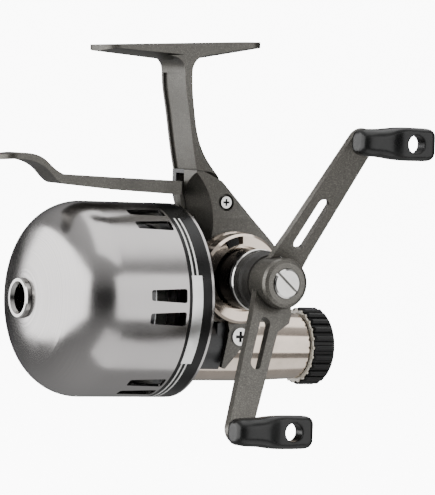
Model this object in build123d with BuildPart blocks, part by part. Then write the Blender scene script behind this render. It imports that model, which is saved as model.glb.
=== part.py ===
from build123d import *
from math import asin, atan2, cos, degrees, hypot, pi, radians, sin, sqrt
import os

# Underspin spincast fishing reel, in millimetres.
# +X runs back along the spool axis, so the nose points to -X. The handle is on the -Y side and
# +Z points up to the rod. The origin is the centre of the top face of the reel foot.

os.makedirs("parts", exist_ok=True)

# ---------------------------------------------------------------- driving dimensions
FOOT_LENGTH = 58.0
FOOT_WIDTH = 15.6
FOOT_SECTIONS = (         # place along the foot, height of its side, depth of its crown
    (-FOOT_LENGTH / 2, 0.6, 2.0), (-4.0, 3.2, 5.2), (4.0, 4.2, 5.4), (FOOT_LENGTH / 2, 1.1, 2.2),
)
STEM_LIP = 1.1            # lips beside the shallow channel down the stem's front
STEM_CHANNEL = 0.8        # depth of that channel
FOOT_TILT = 3.4           # degrees, front end nearer to the spool axis
SPOOL_DROP = 82.0         # from the foot's top face down to the spool axis

CONE_RADIUS = 31.0
CONE_REAR = 0.5           # X of the cone's rear rim
CONE_BARREL = 32.0        # length of the cone's straight part
CONE_DOME = 20.0          # length of the domed nose
CONE_SHOULDER = 17.0      # radius of the shoulder arc
CONE_WALL = 1.0
BAND_WIDTH = 8.2
BAND_GROOVE = 0.35
BAND_LIP = 0.8            # rear lip behind the band

WINDOW_PAIRS = 6
WINDOW_PITCH = 13.5       # degrees between the two windows of a pair
WINDOW_PHASE = -1.2       # degrees, centre of the first pair above the handle side
WINDOW_REAR = -9.3
WINDOW_LENGTH = 12.7
WINDOW_WIDE = 4.5
WINDOW_NARROW = 3.3

GUIDE_RADIUS = 6.45
GUIDE_BORE = 4.5
GUIDE_PROUD = 1.5

CRANK_X = 17.0
CRANK_RISE = 8.2          # crank axis above the spool axis
CRANK_SHAFT = 2.5         # radius
BOSS_RADIUS = 14.3
BOSS_RECESS = 10.3
BOSS_RIM = -20.0          # Y of the bearing collar's near rim
COVER_FACE = -12.5        # Y of the side cover's face at the crank
SLEEVE_END = -28.6
HUB_FACE = -39.3          # Y of the arm's near face at the hub
ARM_THICKNESS = 2.6
ARM_LEAN = 24.0           # degrees, upper arm rearward of vertical
ARM_DIHEDRAL = 18.7       # degrees, both arms lean away from the reel
ARM_REACH = 52.0          # crank axis to knob pivot, along the arm
ARM_ROOT = 10.6
ARM_END = 8.6
ARM_SLOT = 3.8
SLOT_PLACE = 22.0         # middle of the slot, along the arm
SLOT_LENGTH = 18.0
CAP_RADIUS = 8.0
CAP_DEPTH = 7.4

KNOB_LENGTH = 28.0
KNOB_NECK = 8.8           # thickness across the pivot
KNOB_HEIGHT = 10.4
KNOB_HOLE = 2.9           # radius
KNOB_HOLE_EDGE = 7.2      # hole centre to the blade's tip
KNOB_PIVOT = 6.5          # pivot to the neck's blind end
KNOB_PIN = 2.0            # radius
KNOB_STANDOFF = 2.1      # knob to the arm's face at the pivot

DRAG_DROP = 14.2          # drag axis below the spool axis
DRAG_RADIUS = 11.5
DRAG_TAIL_RADIUS = 10.7
DRAG_REAR = 48.3
DRAG_WALL = 1.5
SADDLE_WALL = 0.9
DRAG_SHAFT = 2.4
DRAG_KNOB_RADIUS = 12.6
DRAG_KNOB_LENGTH = 8.0
DRAG_KNOB_LOBES = 24

TEETH_DRIVE = 41
TEETH_PINION = 10
TEETH_SPOOL = 24
TEETH_DRAG = 10
DRAG_MODULE = 2 * DRAG_DROP / (TEETH_SPOOL + TEETH_DRAG)

SHAFT_RADIUS = 1.6
POST_RADIUS = 5.0
POST_FRONT = -29.0
PLATE_FRONT = -3.0
PLATE_REAR = 1.2
HOUSING_RADIUS = 19.0     # round end of the gear housing, about the crank axis
HOUSING_DEPTH = 8.0       # half thickness at the stem
SEAM_Y = 0.4              # plane where the side cover meets the body

LEVER_PIVOT = (9.0, 26.0)
LEVER_NECK = (0.9, 4.9)   # Y span of the lever inside the body
LEVER_HALF_WIDTH = 5.2
LEVER_PIN = 1.5

RUN = 0.05                # radial clearance of a running fit
SEAT = 0.02               # clearance of a seated fit
GAP = 0.3                 # clearance between moving faces

# ---------------------------------------------------------------- planes, axes and helpers
SIDE = Plane((0, 0, -SPOOL_DROP), x_dir=(1, 0, 0), z_dir=(0, -1, 0))
CROSS = Plane((0, 0, -SPOOL_DROP), x_dir=(0, 1, 0), z_dir=(1, 0, 0))
CRANK = (CRANK_X, CRANK_RISE)
CRANK_AXIS = Axis((CRANK_X, 0, CRANK_RISE - SPOOL_DROP), (0, 1, 0))
CRANK_PLAN = Plane((CRANK_X, 0, CRANK_RISE - SPOOL_DROP), x_dir=(1, 0, 0), z_dir=(0, 0, 1))


def side_at(y):
    """The side plane moved to this Y; its local x and y are X and the height above the spool."""
    return SIDE.offset(-y)


def lathe(points, drop=0.0, mode=Mode.ADD):
    """Turn (x, radius) points about the line along X that lies drop below the spool axis."""
    with BuildSketch(SIDE) as section:
        with BuildLine():
            Polyline(*[(x, r - drop) for x, r in points], close=True)
        make_face()
    revolve(section.sketch, axis=Axis((0, 0, -SPOOL_DROP - drop), (1, 0, 0)), mode=mode)


def lathe_crank(points, mode=Mode.ADD):
    """Turn (y, radius) points about the crank axis."""
    with BuildSketch(CRANK_PLAN) as section:
        with BuildLine():
            Polyline(*[(r, y) for y, r in points], close=True)
        make_face()
    revolve(section.sketch, axis=CRANK_AXIS, mode=mode)


def ring_sector(top_angle, sweep, radii, y_far, y_near, mode=Mode.ADD):
    """Part of a ring about the crank axis, from top_angle down through sweep degrees."""
    a = radians(top_angle)
    section_plane = Plane(
        (CRANK_X, 0, CRANK_RISE - SPOOL_DROP), x_dir=(cos(a), 0, sin(a)), z_dir=(-sin(a), 0, cos(a))
    )
    with BuildSketch(section_plane) as section:
        with Locations(((radii[0] + radii[1]) / 2, (y_far + y_near) / 2)):
            Rectangle(radii[1] - radii[0], y_far - y_near)
    revolve(section.sketch, axis=CRANK_AXIS, revolution_arc=sweep, mode=mode)


def prism(points, y_far, y_near, mode=Mode.ADD):
    """A straight-sided block across the reel; points are (x, height above the spool axis)."""
    with BuildSketch(side_at(y_far)) as outline:
        with BuildLine():
            Polyline(*points, close=True)
        make_face()
    extrude(outline.sketch, amount=y_far - y_near, mode=mode)


def cross_pin(centre, radius, y_far, y_near, mode=Mode.ADD):
    """A round bar across the reel, centred on (x, height above the spool axis)."""
    with BuildSketch(side_at(y_far)) as end:
        with Locations(centre):
            Circle(radius)
    extrude(end.sketch, amount=y_far - y_near, mode=mode)


def long_bar(x_front, x_rear, radius, drop=0.0, mode=Mode.ADD):
    """A round bar along X, centred on the line that lies drop below the spool axis."""
    with BuildSketch(CROSS.offset(x_front)) as end:
        with Locations((0, -drop)):
            Circle(radius)
    extrude(end.sketch, amount=x_rear - x_front, mode=mode)


def spur_points(teeth, module, phase, centre, backlash=0.22):
    """Corners of a spur gear's outline about centre; phase is the first tooth's angle."""
    pitch = module * teeth / 2
    flank = (
        (pitch - 1.2 * module, 0.98),
        (pitch - 0.4 * module, 0.88),
        (pitch, 0.785),
        (pitch + 0.75 * module, 0.36),
    )
    points = []
    for tooth in range(teeth):
        middle = radians(phase) + 2 * pi * tooth / teeth
        half = [(r, (share * module - backlash / 2) / r) for r, share in flank]
        corners = [(r, middle - a) for r, a in half] + [(r, middle + a) for r, a in reversed(half)]
        points += [(centre[0] + r * cos(a), centre[1] + r * sin(a)) for r, a in corners]
    return points


def gear_along_x(teeth, module, phase, x_front, x_rear, drop=0.0):
    """A spur gear on a line along X."""
    with BuildSketch(CROSS.offset(x_front)) as face:
        with BuildLine():
            Polyline(*spur_points(teeth, module, phase, (0, -drop)), close=True)
        make_face()
    extrude(face.sketch, amount=x_rear - x_front)


def coil_spring(start, direction, length, turns, radius, wire):
    """A round-wire compression spring along direction from start."""
    with BuildLine(mode=Mode.PRIVATE) as path:
        Helix(pitch=length / turns, height=length, radius=radius, center=start, direction=direction)
    helix = path.edges()[0]
    with BuildSketch(Plane(helix @ 0, z_dir=helix % 0), mode=Mode.PRIVATE) as section:
        Circle(wire / 2)
    sweep(section.sketch, path=helix)


# ---------------------------------------------------------------- foot and stem
tilt = radians(FOOT_TILT)
FOOT_PLANE = Plane((0, 0, 0), x_dir=(cos(tilt), 0, sin(tilt)), z_dir=(0, -1, 0))
FOOT_TOP = Plane((0, 0, 0), x_dir=(cos(tilt), 0, sin(tilt)), z_dir=(-sin(tilt), 0, cos(tilt)))
FOOT_SECTION = Plane((0, 0, 0), x_dir=(0, 1, 0), z_dir=(cos(tilt), 0, sin(tilt)))
seam_front = (5.2, 42.0)
seam_bend = (8.2, 41.7)
seam_rear = (14.4, 38.9)
stem_front = [(-0.45, 72.6), (1.3, 61.6), (2.6, 54.5), seam_front]
tongue = [(9.6, 42.2), (13.2, 39.7), (18.4, 33.4), (17.6, 28.8), (13.0, 28.8), (9.8, 35.0)]
top_screw = (15.9, 32.0)
half_foot = FOOT_LENGTH / 2

with BuildPart() as reel_foot:
    for place, side, crown in FOOT_SECTIONS:
        with BuildSketch(FOOT_SECTION.offset(place)):
            with BuildLine():
                Polyline(
                    (FOOT_WIDTH / 2, -side), (FOOT_WIDTH / 2, 0),
                    (-FOOT_WIDTH / 2, 0), (-FOOT_WIDTH / 2, -side),
                )
                ThreePointArc((-FOOT_WIDTH / 2, -side), (0, -crown), (FOOT_WIDTH / 2, -side))
            make_face()
    loft(ruled=True)
    with BuildSketch(FOOT_TOP.offset(-FOOT_SECTIONS[1][2] - 2)):
        RectangleRounded(FOOT_LENGTH, FOOT_WIDTH, 5.5)
    extrude(amount=FOOT_SECTIONS[1][2] + 2, mode=Mode.INTERSECT)
    with BuildSketch(SIDE):
        with BuildLine():
            Spline((-6.6, 78.0), (-0.45, 72.6), tangents=[(1, -0.02), (0.03, -1)])
            Spline(*stem_front, tangents=[(0.03, -1), (0.26, -1)])
            Polyline(seam_front, seam_bend, seam_rear)
            Spline(
                seam_rear, (7.3, 47.6), (4.5, 55.0), (3.3, 61.6), (2.2, 72.6),
                tangents=[(-0.68, 0.73), (-0.03, 1)],
            )
            Spline((2.2, 72.6), (9.0, 79.0), tangents=[(-0.03, 1), (1, 0.12)])
            Line((9.0, 79.0), (-6.6, 78.0))
        make_face()
    extrude(amount=FOOT_WIDTH / 2, both=True)
    with BuildSketch(SIDE):
        with BuildLine():
            Spline(*stem_front, tangents=[(0.03, -1), (0.26, -1)])
            inner = [(x + STEM_CHANNEL, z) for x, z in reversed(stem_front)]
            Line(stem_front[-1], inner[0])
            Spline(*inner, tangents=[(-0.26, 1), (-0.03, 1)])
            Line(inner[-1], stem_front[0])
        make_face()
    extrude(amount=FOOT_WIDTH / 2 - STEM_LIP, both=True, mode=Mode.SUBTRACT)
    prism(tongue, SEAM_Y - SEAT, -4.4)
    cross_pin(top_screw, 1.7, SEAM_Y, -4.5, mode=Mode.SUBTRACT)
    rear_edges = reel_foot.edges().filter_by_position(Axis.Z, -44, -20).group_by(Axis.Y)[0]
    chamfer(rear_edges.sort_by(Axis.X)[-1], length=0.9)
reel_foot.part.label = "reel_foot"
export_step(reel_foot.part, "parts/reel_foot.step")

# ---------------------------------------------------------------- housing outline
to_crank = (CRANK_X - seam_rear[0], CRANK_RISE - seam_rear[1])
crank_distance = hypot(*to_crank)
tangent_length = sqrt(crank_distance**2 - HOUSING_RADIUS**2)
tangent_angle = atan2(to_crank[1], to_crank[0]) + asin(HOUSING_RADIUS / crank_distance)
back_tangent = (
    seam_rear[0] + tangent_length * cos(tangent_angle),
    seam_rear[1] + tangent_length * sin(tangent_angle),
)


def housing_point(angle):
    """A point on the housing's round rear end, at this angle about the crank axis."""
    return (
        CRANK_X + HOUSING_RADIUS * cos(radians(angle)),
        CRANK_RISE + HOUSING_RADIUS * sin(radians(angle)),
    )


def housing_outline(front):
    """The housing's outline, inside a BuildLine, from the seam round to the front plate."""
    Polyline((front, 29.2), (6.4, 30.6), (5.4, 34.0), seam_front, seam_bend, seam_rear, back_tangent)
    ThreePointArc(back_tangent, housing_point(0), housing_point(-48))
    Polyline(housing_point(-48), (front, housing_point(-48)[1]), (front, 29.2))


# ---------------------------------------------------------------- body
lower_lug = (20.0, -10.6)
slot_far = LEVER_NECK[1] + 0.7

with BuildPart() as body:
    with BuildSketch(side_at(HOUSING_DEPTH)):
        with BuildLine():
            housing_outline(PLATE_REAR)
        make_face()
    extrude(amount=HOUSING_DEPTH - SEAM_Y)
    cross_pin(CRANK, 15.2, 11.6, SEAM_Y)
    cross_pin(CRANK, 9.0, 14.0, SEAM_Y)
    # front plate that carries the cone, and the post that carries the spool
    long_bar(PLATE_FRONT, PLATE_REAR, CONE_RADIUS - CONE_WALL - 0.08)
    long_bar(POST_FRONT, PLATE_FRONT, POST_RADIUS)
    # saddle round the drag housing, and the lug behind the lower cover screw
    long_bar(PLATE_REAR, 14.8, DRAG_RADIUS + SADDLE_WALL, drop=DRAG_DROP)
    cross_pin(lower_lug, 4.2, 0, COVER_FACE + 0.1)
    prism([(13, -6.4), (22, -6.4), (20, -14.8), (13, -14.8)], 0, COVER_FACE + 0.7)
    prism([(PLATE_REAR, -21.3), (30, -21.3), (30, -40), (PLATE_REAR, -40)], 14, -14, Mode.SUBTRACT)
    long_bar(PLATE_REAR, 60, DRAG_RADIUS + SEAT, drop=DRAG_DROP, mode=Mode.SUBTRACT)
    # room for the gears, the lever, the bearings and the shafts
    cross_pin(CRANK, 13.4, 9.6, SEAM_Y, mode=Mode.SUBTRACT)
    cross_pin(CRANK, 13.4, SEAM_Y, -14, mode=Mode.SUBTRACT)
    prism(
        [(3.0, 41.4), (14.2, 38.2), (15.6, 34.0), (15.6, -3.4), (3.2, -3.4), (3.2, 31.4), (3.0, 31.4)],
        slot_far, SEAM_Y - 1, mode=Mode.SUBTRACT,
    )
    cross_pin(LEVER_PIVOT, 4.4, 7.0, SEAM_Y, mode=Mode.SUBTRACT)
    cross_pin(LEVER_PIVOT, LEVER_PIN + SEAT, 7.6, SEAM_Y, mode=Mode.SUBTRACT)
    cross_pin(top_screw, 1.5, 6.8, SEAM_Y, mode=Mode.SUBTRACT)
    cross_pin(lower_lug, 1.5, -8, -16, mode=Mode.SUBTRACT)
    cross_pin(CRANK, 5.5 + SEAT, 12.7, 9, mode=Mode.SUBTRACT)
    cross_pin(CRANK, 4.2, 14.1, 12, mode=Mode.SUBTRACT)
    long_bar(-2.2, PLATE_REAR + 0.7, 6.0 + SEAT, mode=Mode.SUBTRACT)
    long_bar(-26.2, 4, 3.4, mode=Mode.SUBTRACT)
    long_bar(POST_FRONT - 1, 0, SHAFT_RADIUS + 0.25, mode=Mode.SUBTRACT)
    long_bar(PLATE_REAR - 0.1, 16, 5.2, mode=Mode.SUBTRACT)
    long_bar(PLATE_FRONT - 1, PLATE_REAR + 1, 4.0 + SEAT, drop=DRAG_DROP, mode=Mode.SUBTRACT)
body.part.label = "body"
export_step(body.part, "parts/body.step")

# ---------------------------------------------------------------- side cover
SEAM_GAP = 0.12
with BuildPart() as side_cover:
    with BuildSketch(side_at(SEAM_Y - SEAT)):
        with BuildLine():
            housing_outline(PLATE_REAR + SEAM_GAP)
        make_face()
    extrude(amount=20)
    with BuildSketch(CROSS.offset(0)):
        with BuildLine():
            Polyline(
                (SEAM_Y, 46), (-7.8, 46), (-7.8, 41), (-9.6, 27), (COVER_FACE, 15),
                (COVER_FACE, -12), (SEAM_Y, -12), close=True,
            )
        make_face()
    extrude(amount=60, mode=Mode.INTERSECT)
    # lobe of the lower screw with its leaf-shaped tail
    with BuildSketch(side_at(COVER_FACE + 0.05)) as lobe:
        with Locations(lower_lug):
            Circle(4.3)
        with BuildLine():
            Polyline((16.2, -8.6), (13.8, -20.4), (15.0, -20.9), (20.6, -14.6), (24.2, -10.0))
            Line((24.2, -10.0), (16.2, -8.6))
        make_face()
    extrude(amount=1.6)
    prism([(14.5, -3.0), (25.5, -3.0), (24.0, -9.4), (16.4, -9.4)], COVER_FACE + 0.1, COVER_FACE - 1.55)
    # seam line under the foot's stem, pockets for the tongue and the gears
    prism(
        [(4, 43), seam_front, seam_bend, seam_rear, (16, 43)], 1, -14, mode=Mode.SUBTRACT,
    )
    prism(
        [(5.2, 42.1), (5.2, 41.88), (8.2, 41.58), (14.4, 38.78), (15, 38.9), (10, 44)],
        1, -14, mode=Mode.SUBTRACT,
    )
    prism(
        [(9.4, 43), (13.4, 40.6), (18.6, 33.5), (17.8, 28.5), (12.8, 28.5), (9.4, 34.8)],
        1, -4.6, mode=Mode.SUBTRACT,
    )
    cross_pin(CRANK, 13.4, 1, -9.4, mode=Mode.SUBTRACT)
    cross_pin(CRANK, 5.6, 1, -14, mode=Mode.SUBTRACT)
    long_bar(0, 12, 5.4, mode=Mode.SUBTRACT)
    long_bar(0, 60, DRAG_RADIUS + SEAT, drop=DRAG_DROP, mode=Mode.SUBTRACT)
    long_bar(
        0, 14.8 + SEAM_GAP, DRAG_RADIUS + SADDLE_WALL + SEAT, drop=DRAG_DROP, mode=Mode.SUBTRACT
    )
    prism([(0, -5.9), (14.9, -5.9), (14.9, -30), (0, -30)], 1, COVER_FACE + 0.02, mode=Mode.SUBTRACT)
    prism(
        [(13, -6.3), (22.1, -6.3), (20.1, -14.9), (13, -14.9)], 1, COVER_FACE + 0.65,
        mode=Mode.SUBTRACT,
    )
    long_bar(0, 1.8 + GAP, 6.0 + SEAT, mode=Mode.SUBTRACT)
    cross_pin(CRANK, BOSS_RADIUS + 0.5 + SEAT, COVER_FACE, BOSS_RIM, mode=Mode.SUBTRACT)
    cross_pin(lower_lug, 4.3, 1, COVER_FACE + 0.02, mode=Mode.SUBTRACT)
    cross_pin(top_screw, 1.7, 1, -14, mode=Mode.SUBTRACT)
    cross_pin(top_screw, 2.75, -7.0, -14, mode=Mode.SUBTRACT)
    cross_pin(lower_lug, 1.7, 1, -16, mode=Mode.SUBTRACT)
    cross_pin(LEVER_PIVOT, LEVER_PIN + SEAT, 1, -2.0, mode=Mode.SUBTRACT)
    # dished front, behind the cone
    with Locations((-9.1, -12.0, 27.8 - SPOOL_DROP)):
        Sphere(20.1, mode=Mode.SUBTRACT)
side_cover.part.label = "side_cover"
export_step(side_cover.part, "parts/side_cover.step")

with BuildPart() as cover_screws:
    # upper countersunk-recess screw and the larger lower one, each with a cross recess
    for centre, head, shank, face, tip in (
        (top_screw, 1.9, 1.45, -9.0, 5.6), (lower_lug, 2.85, 1.45, COVER_FACE - 2.1, -9.6),
    ):
        seat = -7.0 if centre == top_screw else COVER_FACE - 1.6
        cross_pin(centre, head, seat, face)
        cross_pin(centre, shank, tip, seat)
        with BuildSketch(side_at(face + 1.1)) as recess:
            with Locations(centre):
                with Locations((0, 0, 0)):
                    Rectangle(head * 1.2, head * 0.34)
                    Rectangle(head * 0.34, head * 1.2)
        extrude(recess.sketch, amount=2, mode=Mode.SUBTRACT)
cover_screws.part.label = "cover_screws"
export_step(cover_screws.part, "parts/cover_screws.step")

# ---------------------------------------------------------------- nose cone and what is on it
nose_radius = (CONE_DOME**2 + CONE_RADIUS**2 - 2 * CONE_RADIUS * CONE_SHOULDER) / (
    2 * (CONE_DOME - CONE_SHOULDER)
)
cone_tip = CONE_REAR - CONE_BARREL - CONE_DOME
shoulder_x = CONE_REAR - CONE_BARREL
shoulder_r = CONE_RADIUS - CONE_SHOULDER
nose_x = cone_tip + nose_radius
blend_angle = atan2(shoulder_r, nose_x - shoulder_x)
guide_hole = GUIDE_RADIUS - 0.7


def cone_arc(centre, radius, start, end):
    """An arc of the cone's outline; the angles are measured up from the direction of the nose."""
    at = [
        (centre[0] - radius * cos(a), centre[1] + radius * sin(a))
        for a in (start, (start + end) / 2, end)
    ]
    ThreePointArc(*at)


def cone_outline(inset):
    """The cone's shoulder and nose arcs, inset from the outside, from the barrel to the hole."""
    hole_angle = asin(guide_hole / (nose_radius - inset))
    cone_arc((shoulder_x, shoulder_r), CONE_SHOULDER - inset, pi / 2, blend_angle)
    cone_arc((nose_x, 0), nose_radius - inset, blend_angle, hole_angle)


def nose_edge(inset):
    """Where the outline meets the guide's hole."""
    reach = nose_radius - inset
    return (nose_x - sqrt(reach**2 - guide_hole**2), guide_hole)


band_rear = CONE_REAR - BAND_LIP
band_front = band_rear - BAND_WIDTH
groove = CONE_RADIUS - BAND_GROOVE

with BuildPart() as nose_cone:
    with BuildSketch(SIDE):
        with BuildLine():
            cone_outline(0)
            Line(nose_edge(0), nose_edge(CONE_WALL))
            cone_outline(CONE_WALL)
            Polyline(
                (shoulder_x, CONE_RADIUS - CONE_WALL), (CONE_REAR, CONE_RADIUS - CONE_WALL),
                (CONE_REAR, CONE_RADIUS), (band_rear, CONE_RADIUS), (band_rear, groove),
                (band_front, groove), (band_front, CONE_RADIUS), (shoulder_x, CONE_RADIUS),
            )
        make_face()
    revolve(axis=Axis((0, 0, -SPOOL_DROP), (1, 0, 0)))
    for pair in range(WINDOW_PAIRS):
        for side in (-0.5, 0.5):
            angle = radians(WINDOW_PHASE + 360 / WINDOW_PAIRS * pair + side * WINDOW_PITCH)
            outward = (0, -cos(angle), sin(angle))
            middle = WINDOW_REAR - WINDOW_LENGTH / 2
            with BuildSketch(Plane((middle, 0, -SPOOL_DROP), x_dir=(1, 0, 0), z_dir=outward)) as window:
                with BuildLine():
                    Polyline(
                        (-WINDOW_LENGTH / 2, -WINDOW_NARROW / 2), (WINDOW_LENGTH / 2, -WINDOW_WIDE / 2),
                        (WINDOW_LENGTH / 2, WINDOW_WIDE / 2), (-WINDOW_LENGTH / 2, WINDOW_NARROW / 2),
                        close=True,
                    )
                make_face()
                fillet(window.vertices(), radius=0.7)
            extrude(window.sketch, amount=CONE_RADIUS + 2, mode=Mode.SUBTRACT)
nose_cone.part.label = "nose_cone"
export_step(nose_cone.part, "parts/nose_cone.step")

with BuildPart() as line_guide_ring:
    front = cone_tip - GUIDE_PROUD
    neck = guide_hole - 0.03
    seat = nose_edge(0)[0] - 0.06
    rear = nose_edge(CONE_WALL)[0] + 0.9
    lathe([
        (front, GUIDE_BORE + 0.7), (front, GUIDE_RADIUS - 0.35), (front + 0.35, GUIDE_RADIUS),
        (seat, GUIDE_RADIUS), (seat, neck), (rear, neck), (rear, GUIDE_BORE),
        (front + 1.2, GUIDE_BORE),
    ])
line_guide_ring.part.label = "line_guide_ring"
export_step(line_guide_ring.part, "parts/line_guide_ring.step")

with BuildPart() as label_band:
    lathe([
        (band_front + 0.05, groove + SEAT), (band_rear - 0.05, groove + SEAT),
        (band_rear - 0.05, CONE_RADIUS + 0.03), (band_front + 0.05, CONE_RADIUS + 0.03),
    ])
label_band.part.label = "label_band"
export_step(label_band.part, "parts/label_band.step")

PLATE_TOP = 17.5          # degrees above the handle side
PLATE_SPAN = 54.0         # degrees
PLATE_WIDTH = 3.7
with BuildPart() as name_plate:
    top = radians(PLATE_TOP)
    with BuildSketch(Plane((0, 0, -SPOOL_DROP), x_dir=(1, 0, 0), z_dir=(0, -sin(top), -cos(top)))):
        with Locations((band_front + 1.0 + PLATE_WIDTH / 2, CONE_RADIUS + 0.15)):
            Rectangle(PLATE_WIDTH, 0.2)
    revolve(axis=Axis((0, 0, -SPOOL_DROP), (1, 0, 0)), revolution_arc=PLATE_SPAN)
name_plate.part.label = "name_plate"
export_step(name_plate.part, "parts/name_plate.step")

# ---------------------------------------------------------------- spool, shaft and spinner head
SPOOL_FRONT = -27.0
SPOOL_REAR = -7.9
BARREL_RADIUS = 12.0
with BuildPart() as spool:
    bore = POST_RADIUS + RUN + 0.03
    lathe([
        (SPOOL_FRONT, bore), (SPOOL_FRONT, 7.5), (-13.0, 7.5), (-13.0, 10.6), (SPOOL_FRONT, 10.6),
        (SPOOL_FRONT, 22.0), (SPOOL_FRONT + 1.5, 22.0), (SPOOL_FRONT + 1.5, BARREL_RADIUS),
        (SPOOL_REAR - 1.5, BARREL_RADIUS), (SPOOL_REAR - 1.5, 24.0), (SPOOL_REAR, 24.0),
        (SPOOL_REAR, bore),
    ])
spool.part.label = "spool"
export_step(spool.part, "parts/spool.step")

with BuildPart() as line_winding:
    lathe([
        (SPOOL_FRONT + 1.55, BARREL_RADIUS + SEAT), (SPOOL_REAR - 1.55, BARREL_RADIUS + SEAT),
        (SPOOL_REAR - 1.55, 19.4), (SPOOL_REAR - 3.2, 20.0), (SPOOL_FRONT + 3.2, 20.0),
        (SPOOL_FRONT + 1.55, 19.4),
    ])
line_winding.part.label = "line_winding"
export_step(line_winding.part, "parts/line_winding.step")

with BuildPart() as spool_gear:
    gear_along_x(TEETH_SPOOL, DRAG_MODULE, -90, SPOOL_REAR + 0.03, SPOOL_REAR + 2.8)
    long_bar(SPOOL_REAR - 1, 0, POST_RADIUS + 0.3, mode=Mode.SUBTRACT)
spool_gear.part.label = "spool_gear"
export_step(spool_gear.part, "parts/spool_gear.step")

with BuildPart() as spool_washer:
    lathe([
        (SPOOL_REAR + 3.0, POST_RADIUS + SEAT), (PLATE_FRONT - 0.02, POST_RADIUS + SEAT),
        (PLATE_FRONT - 0.02, 7.6), (SPOOL_REAR + 3.0, 7.6),
    ])
spool_washer.part.label = "spool_washer"
export_step(spool_washer.part, "parts/spool_washer.step")

with BuildPart() as spool_clip:
    lathe([
        (SPOOL_FRONT - 1.2, POST_RADIUS + SEAT), (SPOOL_FRONT - 0.3, POST_RADIUS + SEAT),
        (SPOOL_FRONT - 0.3, 7.2), (SPOOL_FRONT - 1.2, 7.2),
    ])
spool_clip.part.label = "spool_clip"
export_step(spool_clip.part, "parts/spool_clip.step")

CAM_RADIUS = 13.7
PICKUP_X = -33.0
with BuildPart() as pickup_cam:
    lathe([
        (POST_FRONT - 0.02, SHAFT_RADIUS + GAP), (POST_FRONT - 0.02, CAM_RADIUS),
        (PICKUP_X + 1.2, CAM_RADIUS), (PICKUP_X - 2.4, CAM_RADIUS - 2.5),
        (PICKUP_X - 2.4, CAM_RADIUS - 3.6), (POST_FRONT - 1.2, CAM_RADIUS - 3.6),
        (POST_FRONT - 1.2, SHAFT_RADIUS + GAP),
    ])
pickup_cam.part.label = "pickup_cam"
export_step(pickup_cam.part, "parts/pickup_cam.step")

BLOCK_RADIUS = 2.4
BLOCK_FRONT = 13.0
BLOCK_REAR = 15.3
with BuildPart() as main_shaft:
    lathe([
        (-43.9, 0), (-43.9, SHAFT_RADIUS), (-10.4, SHAFT_RADIUS), (-10.4, 3.1), (-9.2, 3.1),
        (-9.2, SHAFT_RADIUS), (BLOCK_REAR - 1.0, SHAFT_RADIUS), (BLOCK_REAR - 1.0, 0),
    ])
main_shaft.part.label = "main_shaft"
export_step(main_shaft.part, "parts/main_shaft.step")

with BuildPart() as shaft_return_spring:
    coil_spring((-25.85, 0, -SPOOL_DROP), (1, 0, 0), 15.1, 7, 2.55, 0.6)
shaft_return_spring.part.label = "shaft_return_spring"
export_step(shaft_return_spring.part, "parts/shaft_return_spring.step")

with BuildPart() as thrust_block:
    bore = SHAFT_RADIUS + RUN
    lathe([
        (BLOCK_FRONT, bore), (BLOCK_FRONT, BLOCK_RADIUS), (BLOCK_REAR, BLOCK_RADIUS), (BLOCK_REAR, 0),
        (BLOCK_REAR - 0.8, 0), (BLOCK_REAR - 0.8, bore),
    ])
thrust_block.part.label = "thrust_block"
export_step(thrust_block.part, "parts/thrust_block.step")

HEAD_RADIUS = 27.0
HEAD_REAR = -18.0
HEAD_FRONT = -41.5
HEAD_WALL = 1.2
with BuildPart() as spinner_head:
    with BuildSketch(SIDE):
        with BuildLine():
            Line((HEAD_REAR, HEAD_RADIUS), (-29.0, HEAD_RADIUS))
            ThreePointArc((-29.0, HEAD_RADIUS), (-38.0, 23.0), (HEAD_FRONT, 13.0))
            Polyline(
                (HEAD_FRONT, 13.0), (HEAD_FRONT, SHAFT_RADIUS + SEAT), (-36.2, SHAFT_RADIUS + SEAT),
                (-36.2, 4.5), (HEAD_FRONT + HEAD_WALL, 4.5), (HEAD_FRONT + HEAD_WALL, 12.6),
            )
            ThreePointArc((HEAD_FRONT + HEAD_WALL, 12.6), (-37.1, 22.0), (-29.0, HEAD_RADIUS - HEAD_WALL))
            Polyline((-29.0, HEAD_RADIUS - HEAD_WALL), (HEAD_REAR, HEAD_RADIUS - HEAD_WALL), (HEAD_REAR, HEAD_RADIUS))
        make_face()
    revolve(axis=Axis((0, 0, -SPOOL_DROP), (1, 0, 0)))
    pin_plane = Plane((PICKUP_X, 0, -SPOOL_DROP), x_dir=(1, 0, 0), z_dir=(0, 0, 1))
    with BuildSketch(pin_plane.offset(20.0)):
        Circle(2.6)
    extrude(amount=5.4)
    with BuildSketch(pin_plane.offset(18.0)):
        Circle(1.2 + RUN)
    extrude(amount=14, mode=Mode.SUBTRACT)
spinner_head.part.label = "spinner_head"
export_step(spinner_head.part, "parts/spinner_head.step")

with BuildPart() as spinner_nut:
    with BuildSketch(CROSS.offset(-43.6)):
        RegularPolygon(3.4, 6)
        Circle(SHAFT_RADIUS + SEAT, mode=Mode.SUBTRACT)
    extrude(amount=2.08)
spinner_nut.part.label = "spinner_nut"
export_step(spinner_nut.part, "parts/spinner_nut.step")

with BuildPart() as pickup_pin:
    for base, radius, height in ((14.0, 1.2, 14.6), (15.6, 2.1, 0.8)):
        with BuildSketch(pin_plane.offset(base)):
            Circle(radius)
        extrude(amount=height)
pickup_pin.part.label = "pickup_pin"
export_step(pickup_pin.part, "parts/pickup_pin.step")

with BuildPart() as pickup_spring:
    coil_spring((PICKUP_X, 0, 16.7 - SPOOL_DROP), (0, 0, 1), 3.0, 4, 1.7, 0.4)
pickup_spring.part.label = "pickup_spring"
export_step(pickup_spring.part, "parts/pickup_spring.step")

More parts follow.
